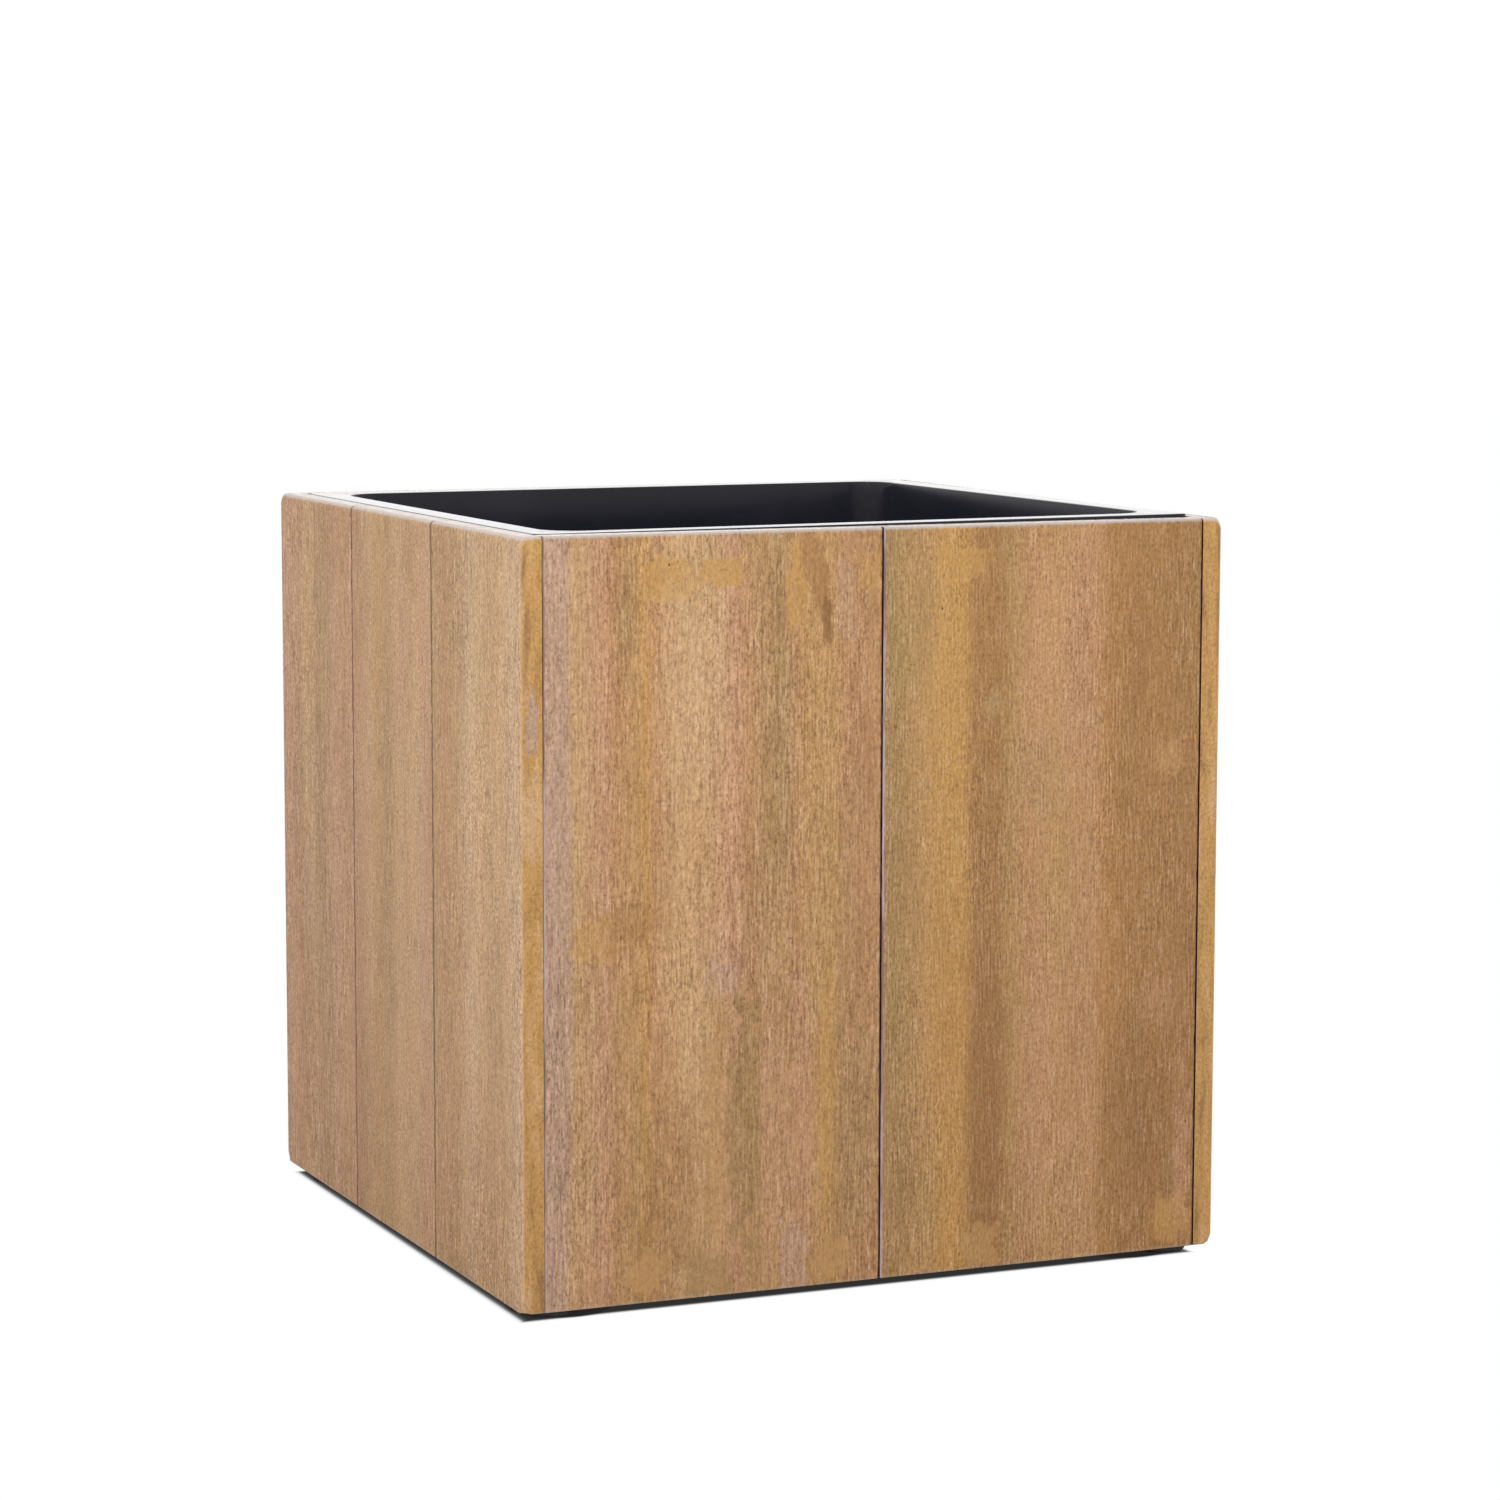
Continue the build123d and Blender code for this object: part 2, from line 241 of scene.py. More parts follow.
# ---------------------------------------------------------------- shared effects
def make_brushed_grain():
    """Wire-brushed grain: soft wood cut away in fine lines, pores in short dashes, and a few pin holes."""
    t, given, out = shared_group(
        "brushed_grain",
        [("Place", "Vector", None), ("Seed", "Float", 0.0), ("Fibres per metre", "Float", 170.0)],
        ["Lines", "Strength", "Streaks", "Fibres", "Pores", "Pin holes"],
    )
    seed = t.vector(z=given["Seed"])
    place = t.node("ShaderNodeVectorMath", {0: given["Place"], 1: seed}, operation="ADD").outputs[0]
    drift = t.cloud(t.stretch(place, (7, 4, 1)), 2)
    sway = t.vector(t.math("MULTIPLY_ADD", drift, 0.006, -0.003))
    place = t.node("ShaderNodeVectorMath", {0: place, 1: sway}, operation="ADD").outputs[0]
    fine = t.cloud(t.stretch(place, (820, 50, 1)), 3, 0.66)
    wide = t.cloud(t.stretch(place, (480, 26, 1), (3.1, 7.7, 1)), 2, 0.5)
    both = t.math("ADD", t.product(fine, 0.87), t.product(wide, 0.13))
    t.feed(out["Lines"], t.steps(both, 0.36, 0.64, smooth=False))
    strength = t.cloud(t.stretch(place, (24, 7, 1), (8.8, 3.3, 1)), 3, 0.6)
    t.feed(out["Strength"], t.steps(strength, 0.36, 0.66, 0.5, 0.9))
    t.feed(out["Streaks"], t.steps(t.cloud(t.stretch(place, (90, 5, 1), (9.2, 1.3, 2)), 3, 0.6), 0.3, 0.7))
    length = t.vector(600.0, given["Fibres per metre"], 1.0)
    fibres = t.cloud(t.stretch(place, length, (2.2, 8.1, 2)), 2, 0.75)
    t.feed(out["Fibres"], t.steps(fibres, 0.3, 0.7, smooth=False))
    dash = t.steps(t.cloud(t.stretch(place, (800, 110, 1), (1.7, 2.9, 3)), 1), 0.63, 0.72)
    where = t.steps(t.cloud(t.stretch(place, (26, 9, 1), (4.4, 6.1, 4)), 2), 0.4, 0.62)
    t.feed(out["Pores"], t.product(dash, where))
    cell = t.node("ShaderNodeTexVoronoi", {"Vector": t.stretch(place, (70, 42, 1)), "Scale": 1.0})
    chance = t.node("ShaderNodeSeparateColor", {0: cell.outputs["Color"]}).outputs[0]
    hole = t.steps(cell.outputs["Distance"], 0.03, 0.06, 1, 0)
    t.feed(out["Pin holes"], t.product(hole, t.math("GREATER_THAN", chance, 0.88)))
    return t.tree


def make_soft_patch():
    """A blotch: inside a rounded rectangle on the board, its edge wandering."""
    t, given, out = shared_group(
        "soft_patch",
        [
            ("Place", "Vector", None), ("Across", "Float", 0.0), ("Height", "Float", 0.0),
            ("Half width", "Float", 0.01), ("Half height", "Float", 0.01), ("Softness", "Float", 0.3),
            ("Strength", "Float", 1.0), ("Wander", "Float", 0.0),
        ],
        ["Mask"],
    )
    parts = t.axes(given["Place"])
    squares = []
    for axis, centre, half in (("X", "Across", "Half width"), ("Y", "Height", "Half height")):
        away = t.math("DIVIDE", t.math("SUBTRACT", parts[axis], given[centre]), given[half])
        squares.append(t.math("POWER", t.math("ABSOLUTE", away), 3.0))
    reach = t.math("POWER", t.math("ADD", *squares), 1 / 3)
    reach = t.math("ADD", reach, given["Wander"])
    low = t.math("SUBTRACT", 1.0, given["Softness"])
    high = t.math("ADD", 1.0, given["Softness"])
    inside = t.steps(reach, low, high, 1.0, 0.0)
    t.feed(out["Mask"], t.product(inside, given["Strength"]))
    return t.tree


def make_board_edges():
    """Where a board's long edges, chamfers, joints, ends and end grain are, from its own map."""
    t, given, out = shared_group(
        "board_edges",
        [("Place", "Vector", None), ("Width", "Float", 0.1), ("Bottom", "Float", 0.0), ("Top", "Float", 0.5)],
        ["Side", "Start arris", "End arris", "Start joint", "End joint", "Near end", "End grain"],
    )
    parts = t.axes(given["Place"])
    rag = t.math("MULTIPLY_ADD", t.cloud(t.stretch(given["Place"], (300, 120, 1)), 3, 0.6), 0.0024, -0.0012)
    end_grain = t.math("GREATER_THAN", parts["X"], END_GRAIN_MAP / 2)
    t.feed(out["End grain"], end_grain)
    on_map = t.math("SUBTRACT", 1.0, end_grain)
    past = t.math("SUBTRACT", given["Width"], parts["X"])
    inside = t.math("MINIMUM", parts["X"], past)
    t.feed(out["Side"], t.product(t.steps(inside, -0.0006, 0.0004, 1, 0), on_map))
    for name, distance in (("Start", parts["X"]), ("End", past)):
        ragged = t.math("ADD", distance, rag)
        band = t.product(t.steps(ragged, 0.0006, 0.0014, 1, 0), t.steps(distance, -0.0016, -0.001))
        t.feed(out[f"{name} arris"], t.product(band, on_map))
        t.feed(out[f"{name} joint"], t.product(t.steps(distance, -0.0012, -0.0006, 1, 0), on_map))
    top = t.math("SUBTRACT", given["Top"], parts["Y"])
    bottom = t.math("SUBTRACT", parts["Y"], given["Bottom"])
    end = t.math("ADD", t.math("MINIMUM", top, bottom), rag)
    t.feed(out["Near end"], t.product(t.steps(end, 0.0006, 0.0026, 1, 0), on_map))
    return t.tree


def make_specks():
    """Fine dust and scuffs for moulded plastic and steel."""
    t, given, out = shared_group(
        "specks",
        [("Place", "Vector", None), ("Seed", "Float", 0.0)],
        ["Dust", "Scuffs", "Texture"],
    )
    seed = t.vector(z=given["Seed"])
    place = t.node("ShaderNodeVectorMath", {0: given["Place"], 1: seed}, operation="ADD").outputs[0]
    cell = t.node("ShaderNodeTexVoronoi", {"Vector": t.stretch(place, (260, 260, 260)), "Scale": 1.0})
    chance = t.node("ShaderNodeSeparateColor", {0: cell.outputs["Color"]}).outputs[1]
    dot = t.product(t.steps(cell.outputs["Distance"], 0.05, 0.13, 1, 0), t.steps(chance, 0.86, 0.95))
    haze = t.steps(t.cloud(t.stretch(place, (9, 9, 9)), 4, 0.6), 0.42, 0.7)
    t.feed(out["Dust"], t.math("MAXIMUM", dot, t.product(haze, 0.35)))
    scratch = t.cloud(t.stretch(place, (40, 420, 160)), 2, 0.6, 0.4)
    t.feed(out["Scuffs"], t.steps(scratch, 0.63, 0.74))
    t.feed(out["Texture"], t.cloud(t.stretch(place, (900, 900, 900)), 2, 0.5))
    return t.tree


BRUSHED_GRAIN = make_brushed_grain()
SOFT_PATCH = make_soft_patch()
BOARD_EDGES = make_board_edges()
SPECKS = make_specks()

# ---------------------------------------------------------------- wood
TONES = {
    "lilac": (182, 150, 130),
    "cream": (198, 164, 130),
    "sand": (188, 152, 114),
    "honey": (183, 144, 99),
    "gold": (186, 144, 90),
    "rose": (186, 144, 114),
    "clay": (179, 138, 101),
    "olive": (170, 137, 98),
    "moss": (158, 128, 88),
    "umber": (163, 123, 82),
    "bark": (140, 103, 68),
}


def tone(name, level=1.0):
    """Colour of the wood itself, without the pale sheen that the finish adds."""
    sheen, gains = 0.035, (1.055, 1.052, 1.0)
    bare = [max(value * gain - sheen, 0) * level for value, gain in zip(linear(*TONES[name]), gains)]
    return (*bare, 1.0)


def new_material(name):
    """Empty material. Returns it, its node tree and its Principled shader."""
    material = bpy.data.materials.new(name)
    material.use_nodes = True
    t = Tree(material.node_tree)
    material.node_tree.nodes.clear()
    shader = t.node("ShaderNodeBsdfPrincipled")
    t.node("ShaderNodeOutputMaterial", {"Surface": shader.outputs[0]})
    return material, t, shader


def dress_shader(t, shader, colour, roughness, height, strength, distance):
    """Gives a shader its colour, roughness and bumps."""
    t.feed(shader.inputs["Base Color"], colour)
    t.feed(shader.inputs["Roughness"], roughness)
    bump = t.node("ShaderNodeBump", {"Strength": strength, "Distance": distance, "Height": height})
    t.feed(shader.inputs["Normal"], bump.outputs[0])


def times(t, base, red, green, blue):
    """A colour with its red, green and blue scaled."""
    return t.colour(1.0, base, (red, green, blue, 1), "MULTIPLY")


def stave_wood(t, place, shift, width, staves, level):
    """Staves across a board, with slow drifts of tint and depth of colour along the grain."""
    sway = t.cloud(t.stretch(place, (16, 6, 1), shift), 3, 0.6)
    across = t.math("ADD", t.axes(place)["X"], t.math("MULTIPLY_ADD", sway, 0.012, -0.006))
    across = t.math("DIVIDE", across, width)
    wood = t.ramp(across, [(mm * MM / width, tone(key, value * level)) for mm, key, value in staves])
    warm = t.cloud(t.stretch(place, (34, 7, 1), (shift[1], 5.5, shift[2])), 3, 0.6)
    wood = t.colour(t.steps(warm, 0.5, 0.72, 0, 0.5), wood, times(t, wood, 1.06, 0.985, 0.96))
    wood = t.colour(t.steps(warm, 0.5, 0.3, 0, 0.5), wood, times(t, wood, 0.92, 0.99, 0.92))
    depth = t.cloud(t.stretch(place, (32, 5, 1), (2.3, shift[0], shift[2])), 3, 0.55)
    wood = t.colour(t.steps(depth, 0.52, 0.75, 0, 0.6), wood, times(t, wood, 0.78, 0.74, 0.68))
    return t.colour(t.steps(depth, 0.48, 0.28, 0, 0.6), wood, times(t, wood, 1.14, 1.15, 1.17))


def sawn_edge(t, place, shift):
    """Colour of a board's sawn long edges, smoother and warmer than its face."""
    marble = t.cloud(t.stretch(place, (60, 12, 1), shift), 4, 0.62, 1.2)
    return t.ramp(marble, [
        (0.32, tone("umber", 0.9)), (0.42, tone("gold", 0.9)), (0.5, tone("gold", 1.0)),
        (0.58, tone("honey", 1.1)), (0.7, tone("sand", 1.16)),
    ])


def end_grain_wood(t, place, shift):
    """Colour of a board's sawn ends."""
    rings = t.cloud(t.stretch(place, (420, 90, 1), shift), 3, 0.6)
    return t.ramp(rings, [
        (0.35, linear(148, 126, 112)), (0.5, linear(198, 180, 168)), (0.7, linear(222, 208, 198)),
    ])


def with_patches(t, place, wood, smooth, patches, level):
    """Wood with its blotches, and how smooth it is with them."""
    wander = t.math("MULTIPLY_ADD", t.cloud(t.stretch(place, (110, 75, 1)), 3.0, 0.55), 2.3, -1.15)
    for mm, high, half_width, half_height, key, strength, softness, smoothness in patches:
        mask = t.shared(SOFT_PATCH, {
            "Place": place, "Across": mm * MM, "Height": high * MM, "Half width": half_width * MM,
            "Half height": half_height * MM, "Softness": softness, "Strength": strength, "Wander": wander,
        })[0]
        wood = t.colour(mask, wood, tone(key, level))
        if smoothness:
            smooth = t.math("MAXIMUM", smooth, t.product(mask, smoothness))
    return wood, smooth


def with_grain(t, wood, grain, brushed, roughed):
    """Wood with its brushed lines, fibres, pores and pin holes."""
    dark = t.product(t.steps(grain["Lines"], 0.55, 0.0), t.product(brushed, 0.82 * roughed))
    pale = t.product(t.steps(grain["Lines"], 0.55, 1.0), t.product(brushed, 0.3))
    wood = t.colour(dark, wood, times(t, wood, 0.58, 0.5, 0.41))
    wood = t.colour(pale, wood, linear(226, 190, 160))
    fuzz = t.product(t.math("MULTIPLY_ADD", brushed, 0.6, 0.4), roughed)
    low_fibres = t.product(t.steps(grain["Fibres"], 0.5, 0.0), fuzz)
    high_fibres = t.product(t.steps(grain["Fibres"], 0.5, 1.0), fuzz)
    wood = t.colour(low_fibres, wood, times(t, wood, 0.5, 0.43, 0.37))
    wood = t.colour(high_fibres, wood, times(t, wood, 1.42, 1.46, 1.52))
    pore = t.product(grain["Pores"], t.math("MULTIPLY_ADD", brushed, 0.6, 0.1))
    wood = t.colour(pore, wood, linear(96, 62, 42))
    return t.colour(t.product(grain["Pin holes"], 0.85), wood, linear(62, 38, 28))


def with_edges(t, place, shift, wood, edges, bare_sides, stained):
    """Wood with its chamfers stained dark, and with stained joints. The chamfer on the start side is paler
    where the finish has worn off, partly a painted highlight; the one on the end side stays dark. A side that
    is bare is only a little paler."""
    # Painted highlight: a pale band along the board's ends, strongest along its top edge
    painted_end_highlight = t.product(edges["Near end"], t.steps(t.axes(place)["Y"], 0.2, 0.3, 0.15, 0.75))
    wood = t.colour(painted_end_highlight, wood, linear(184, 178, 176))
    # Paleness of the start-side chamfer: worn finish, partly a painted highlight
    wear_and_highlight = t.steps(t.cloud(t.stretch(place, (1, 9, 1), shift), 3, 0.65), 0.4, 0.56, 0.25, 0.9)
    for side, amount, colour, bare in (
        ("Start", wear_and_highlight, linear(190, 168, 170), bare_sides[0]),
        ("End", 0.9, linear(108, 72, 54), bare_sides[1]),
    ):
        arris = edges[f"{side} arris"]
        if bare:
            wood = t.colour(t.product(arris, 0.3), wood, linear(204, 176, 150))
            continue
        arris = t.product(arris, stained)
        wood = t.colour(arris, wood, linear(100, 66, 50))
        wood = t.colour(t.product(arris, amount), wood, colour)
        wood = t.colour(edges[f"{side} joint"], wood, linear(66, 40, 30))
    return wood


def brushed_relief(t, grain, brushed):
    """How high the brushed face stands."""
    height = t.product(grain["Lines"], t.math("MULTIPLY_ADD", brushed, 0.9, 0.1))
    height = t.math("SUBTRACT", height, t.product(grain["Pores"], 0.7))
    height = t.math("SUBTRACT", height, t.product(grain["Pin holes"], 2.0))
    height = t.math("ADD", height, t.product(grain["Fibres"], 0.3))
    return t.math("ADD", height, t.product(grain["Streaks"], 0.5))


def brushed_board(name, width, seed, staves, patches, bare_sides, look):
    """Brushed and washed hardwood. Staves are (mm across, tone, level), patches (mm across, mm high, half
    width, half height, tone, strength, softness, smoothness). A bare side shows at a corner of the case.
    The look is (level of the tones, fibres per metre along, their strength, stain at the chamfers)."""
    level, fibres, roughed, stained = look
    material, t, shader = new_material(name)
    place = t.node("ShaderNodeUVMap", uv_map="board").outputs[0]
    edges = t.shared(BOARD_EDGES, {"Place": place, "Width": width, "Bottom": FOOT_HEIGHT, "Top": CASE})
    grain = t.shared(BRUSHED_GRAIN, {"Place": place, "Seed": seed, "Fibres per metre": fibres})
    shift = (seed * 1.7, seed * 0.9, seed)

    wood = stave_wood(t, place, shift, width, staves, level)
    wood = t.colour(t.product(grain["Streaks"], 0.17), wood, times(t, wood, 0.84, 0.79, 0.73))
    wood = t.colour(edges["Side"], wood, sawn_edge(t, place, shift))
    wood, smooth = with_patches(t, place, wood, t.product(edges["Side"], 0.85), patches, level)
    # Painted shade: each board's colour darkens towards its foot
    foot = t.steps(t.axes(place)["Y"], 0.5, 0.02, 0, 0.8)
    wood = t.colour(foot, wood, times(t, wood, 0.84, 0.81, 0.79))
    brushed = t.product(t.math("SUBTRACT", 1.0, smooth), grain["Strength"])
    wood = with_grain(t, wood, grain, brushed, roughed)
    wood = with_edges(t, place, shift, wood, edges, bare_sides, stained)
    wood = t.colour(edges["End grain"], wood, end_grain_wood(t, place, shift))

    gloss = t.math("MULTIPLY_ADD", grain["Lines"], -0.14, 0.62)
    gloss = t.math("SUBTRACT", gloss, t.product(smooth, 0.1))
    t.feed(shader.inputs["Coat Weight"], t.math("MULTIPLY_ADD", edges["End grain"], 0.6, 0.05))
    shader.inputs["Coat Roughness"].default_value = 0.3
    dress_shader(t, shader, wood, gloss, brushed_relief(t, grain, brushed), 0.5, 0.25 * MM)
    return material


def planed_frame_wood(name, along, seed):
    """Planed, unfinished hardwood for the hidden frame, its grain along X, Y or Z."""
    material, t, shader = new_material(name)
    parts = t.axes(t.coordinates())
    order = {"X": "YXZ", "Y": "XYZ", "Z": "XZY"}[along]
    place = t.vector(parts[order[0]], parts[order[1]], t.product(parts[order[2]], 60.0))
    grain = t.shared(BRUSHED_GRAIN, {"Place": place, "Seed": seed})
    slow = t.cloud(t.stretch(place, (28, 3, 0.25), (seed, 1, 2)), 3, 0.6)
    wood = t.ramp(slow, [
        (0.3, linear(150, 118, 84)), (0.5, linear(174, 140, 102)), (0.7, linear(190, 158, 120)),
    ])
    wood = t.colour(t.product(grain["Streaks"], 0.45), wood, linear(140, 106, 72))
    wood = t.colour(t.steps(grain["Lines"], 0.5, 0.0, 0, 0.35), wood, linear(112, 82, 56))
    wood = t.colour(t.product(grain["Pores"], 0.5), wood, linear(80, 56, 40))
    gloss = t.math("MULTIPLY_ADD", grain["Lines"], -0.15, 0.75)
    dress_shader(t, shader, wood, gloss, grain["Lines"], 0.35, 0.2 * MM)
    return material


# ---------------------------------------------------------------- plastic and steel
def moulded_plastic(name, colour, roughness, dusty, seed, rim=None):
    """Black moulded plastic: fine texture, pale dust and scuffs. The upward face of a rim is polished."""
    material, t, shader = new_material(name)
    place = t.coordinates()
    marks = t.shared(SPECKS, {"Place": place, "Seed": seed})
    dust = t.product(marks["Dust"], dusty)
    rough = t.math("MULTIPLY_ADD", marks["Texture"], 0.1, roughness - 0.05)
    if rim is not None:
        height = t.axes(place)["Z"]
        upward = t.axes(t.node("ShaderNodeNewGeometry").outputs["Normal"])["Z"]
        worn = t.product(t.steps(height, rim - 0.0015, rim), t.steps(upward, 0.3, 0.9))
        ragged = t.steps(t.cloud(t.stretch(place, (130, 130, 1)), 4, 0.7), 0.36, 0.62)
        dust = t.math("MAXIMUM", dust, t.product(worn, t.product(ragged, 0.025)))
        coat = t.math("MULTIPLY_ADD", ragged, 0.14, 0.7)
        t.feed(shader.inputs["Coat Weight"], t.product(worn, coat))
        shader.inputs["Specular IOR Level"].default_value = 0.22
        shader.inputs["Coat Roughness"].default_value = 0.12
    base = t.colour(dust, colour, linear(196, 194, 192))
    base = t.colour(t.product(marks["Scuffs"], dusty * 0.6), base, linear(120, 120, 124))
    gloss = t.math("MULTIPLY_ADD", dust, 0.3, rough)
    dress_shader(t, shader, base, gloss, marks["Texture"], 0.2, 0.1 * MM)
    return material


def plated_steel(name):
    """Zinc-plated steel with a cloudy bloom and scuffs."""
    material, t, shader = new_material(name)
    place = t.coordinates()
    marks = t.shared(SPECKS, {"Place": place, "Seed": 5.0})
    bloom = t.cloud(t.stretch(place, (140, 140, 140)), 3, 0.6)
    base = t.ramp(bloom, [
        (0.3, linear(176, 172, 160)), (0.55, linear(200, 196, 184)), (0.75, linear(214, 204, 176)),
    ])
    base = t.colour(t.product(marks["Scuffs"], 0.5), base, linear(120, 116, 108))
    shader.inputs["Metallic"].default_value = 1.0
    gloss = t.math("MULTIPLY_ADD", bloom, 0.25, 0.25)
    dress_shader(t, shader, base, gloss, marks["Texture"], 0.25, 0.1 * MM)
    return material


# ---------------------------------------------------------------- boards
# Each panel: middle of its outer face, way along it (anticlockwise from above), way in, length, boards
HALF = CASE / 2
SET_IN = CASE - 2 * BOARD_THICKNESS - 2 * CORNER_REVEAL
PANELS = {
    "left": ((-HALF, 0), (0, -1), (1, 0), CASE, ("back", "middle", "front")),
    "front": ((0, -HALF), (1, 0), (0, 1), SET_IN, ("left", "right")),
    "right": ((HALF, 0), (0, 1), (-1, 0), CASE, ("front", "middle", "back")),
    "back": ((0, HALF), (-1, 0), (0, -1), SET_IN, ("right", "left")),
}


def smooth_shade(mesh):
    """Shades a mesh smooth, but for its sharp edges."""
    for polygon in mesh.polygons:
        polygon.use_smooth = True
    mesh.set_sharp_from_angle(angle=SMOOTH_ANGLE)


def put(name, data):
    """Puts an object in the scene."""
    thing = bpy.data.objects.new(name, data)
    bpy.context.scene.collection.objects.link(thing)
    return thing


def board_outline(width, start_round, end_round, groove, tongue):
    """Plan of a board: round the start edge, the face, the end edge and the back. Each point is (along, in,
    place on the map, way that the rounded ends of the board draw it in)."""
    thick, mid = BOARD_THICKNESS, BOARD_THICKNESS / 2
    still, inwards = (0, 0), (0, 1)
    past_chamfer = 1 * MM

    def corner(rounded):
        """The face's corner from its long edge on to the face, as (along, in, way), for the start edge."""
        if not rounded:
            return [(JOINT_CHAMFER * k / 2, JOINT_CHAMFER * (1 - k / 2), inwards) for k in range(3)]
        turns = [math.pi / 2 * k / ROUND_STEPS for k in range(ROUND_STEPS + 1)]
        ways = [(math.cos(turn), math.sin(turn)) for turn in turns]
        return [(CORNER_ROUND * (1 - way[0]), CORNER_ROUND * (1 - way[1]), way) for way in ways]

    def edge(rounded, joint):
        """The start edge from the back to its corner."""
        if rounded:
            return [(0, thick - (thick - CORNER_ROUND) * k / EDGE_STEPS, (1, 0)) for k in range(EDGE_STEPS)]
        return [(0, thick, still)] + [(x, y, still) for x, y in joint]

    def on_start(x, y):
        """Place on the map of a point of the start edge."""
        if y <= 0:
            return x
        if start_round and x < CORNER_ROUND:
            return x - y
        return -y if x <= 0 or y > past_chamfer else x

    def on_end(x, y):
        """Place on the map of a point of the end edge, measured from that edge."""
        if y <= 0:
            return width - x
        if end_round:
            return width + y - x
        return width + y if y > past_chamfer else width - x

    half, deep = TONGUE / 2 + TONGUE_SIDE_CLEARANCE, TONGUE + TONGUE_END_CLEARANCE
    cut = [(0, mid + half), (deep, mid + half), (deep, mid - half), (0, mid - half)] if groove else []
    half, far = TONGUE / 2, TONGUE + BOARD_REVEAL
    lip = [(0, mid + half), (-far, mid + half), (-far, mid - half), (0, mid - half)] if tongue else []
    start = edge(start_round, cut) + corner(start_round)
    end = edge(end_round, lip) + corner(end_round)

    points = [(x, y, on_start(x, y), way) for x, y, way in start]
    reach, stop = start[-1][0], width - end[-1][0]
    count = round((stop - reach) / (FINE_FACE_STEP if start_round or end_round else FACE_STEP))
    across = [reach + (stop - reach) * k / count for k in range(1, count)]
    points += [(x, 0, x, inwards) for x in across]
    points += [(width - x, y, on_end(x, y), (-way[0], way[1])) for x, y, way in reversed(end)]
    back = [k / BACK_STEPS for k in range(1, BACK_STEPS)]
    points += [(width * (1 - part), thick, width + thick + width * part, still) for part in back]
    return points


def board_levels(size):
    """Heights of a board's rings and how far its ends, rounded to a size, draw the face in there."""
    low, high = FOOT_HEIGHT, CASE
    turns = [math.pi / 2 * k / END_STEPS for k in range(END_STEPS + 1)]
    ends = [(size * (1 - math.cos(turn)), size * (1 - math.sin(turn))) for turn in turns]
    near = [size + past for past in RINGS_PAST_ROUND]
    step = (high - low - 2 * size) / BOARD_RINGS
    levels = [(low + rise * FOOT_ROUND_SHARE, draw * FOOT_ROUND_SHARE) for rise, draw in ends]
    levels += [(low + rise, 0.0) for rise in near]
    levels += [(low + size + step * k, 0.0) for k in range(1, BOARD_RINGS)]
    levels += [(high - rise, 0.0) for rise in reversed(near)]
    levels += [(high - rise, draw) for rise, draw in reversed(ends)]
    return levels


def board_point(x, y, z, way, draw, width, shape, seed):
    """A point of a board as (along, in, height): drawn in at the ends, sanded off at the tips of the case's
    corners, a little swollen on the face and worn at its edges."""
    on_face = 1.0 if way != (0, 0) and y < CORNER_ROUND else 0.0
    swell = noise.noise(Vector((x * 14 + seed, z * 4, seed))) * SWELL * on_face
    nick = noise.noise(Vector((x * 300 + seed, z * 140, seed * 3)))
    on_arris = 1.0 if y < WEAR_REACH and min(x, width - x) < WEAR_REACH else WEAR_ON_FACE
    wear = max(0.0, nick - 0.1) * WEAR * on_arris * on_face
    side, depth, height = x + way[0] * draw, y + way[1] * draw, z
    for rounded, edge, turn in ((shape[0], side, 1), (shape[1], width - side, -1)):
        end = min(z - FOOT_HEIGHT, CASE - z)
        closeness = [max(0.0, 1 - gap / TIP_REACH) for gap in (edge, depth, end)]
        if rounded and min(closeness) > 0:
            sanded = TIP_SANDED * math.prod(closeness) / math.sqrt(3)
            side, depth = side + turn * sanded, depth + sanded
            height += sanded * FOOT_TIP_SHARE if z < CASE / 2 else -sanded
    return side, depth + swell + wear, height


def board_mesh(name, panel, start, width, shape, seed):
    """A board with a slightly uneven face and nicked arrises, in one closed skin."""
    origin, along, inward, _, _ = panel
    outline = board_outline(width, *shape[:4])
    levels = board_levels(SIDE_END_ROUND if shape[4] else SET_IN_END_ROUND)
    verts, faces, maps = [], [], []
    for z, draw in levels:
        for x, y, _, way in outline:
            side, depth, height = board_point(x, y, z, way, draw, width, shape, seed)
            side += start
            verts.append((
                origin[0] + along[0] * side + inward[0] * depth,
                origin[1] + along[1] * side + inward[1] * depth,
                height,
            ))
    count = len(outline)
    seam = outline[0][2] + 2 * (width + BOARD_THICKNESS)
    for ring in range(len(levels) - 1):
        low, high = levels[ring][0], levels[ring + 1][0]
        below, above = ring * count, (ring + 1) * count
        for index in range(count):
            after = (index + 1) % count
            faces.append((below + index, below + after, above + after, above + index))
            left, right = outline[index][2], outline[after][2] if after else seam
            maps += [(left, low), (right, low), (right, high), (left, high)]
    last = (len(levels) - 1) * count
    faces += [tuple(range(last, last + count)), tuple(reversed(range(count)))]
    maps += [(END_GRAIN_MAP + x, y) for x, y, _, _ in outline]
    maps += [(END_GRAIN_MAP + x, y) for x, y, _, _ in reversed(outline)]
    mesh = bpy.data.meshes.new(name)
    mesh.from_pydata(verts, [], faces)
    layer = mesh.uv_layers.new(name="board")
    for loop, place in zip(layer.data, maps):
        loop.uv = place
    smooth_shade(mesh)
    return mesh


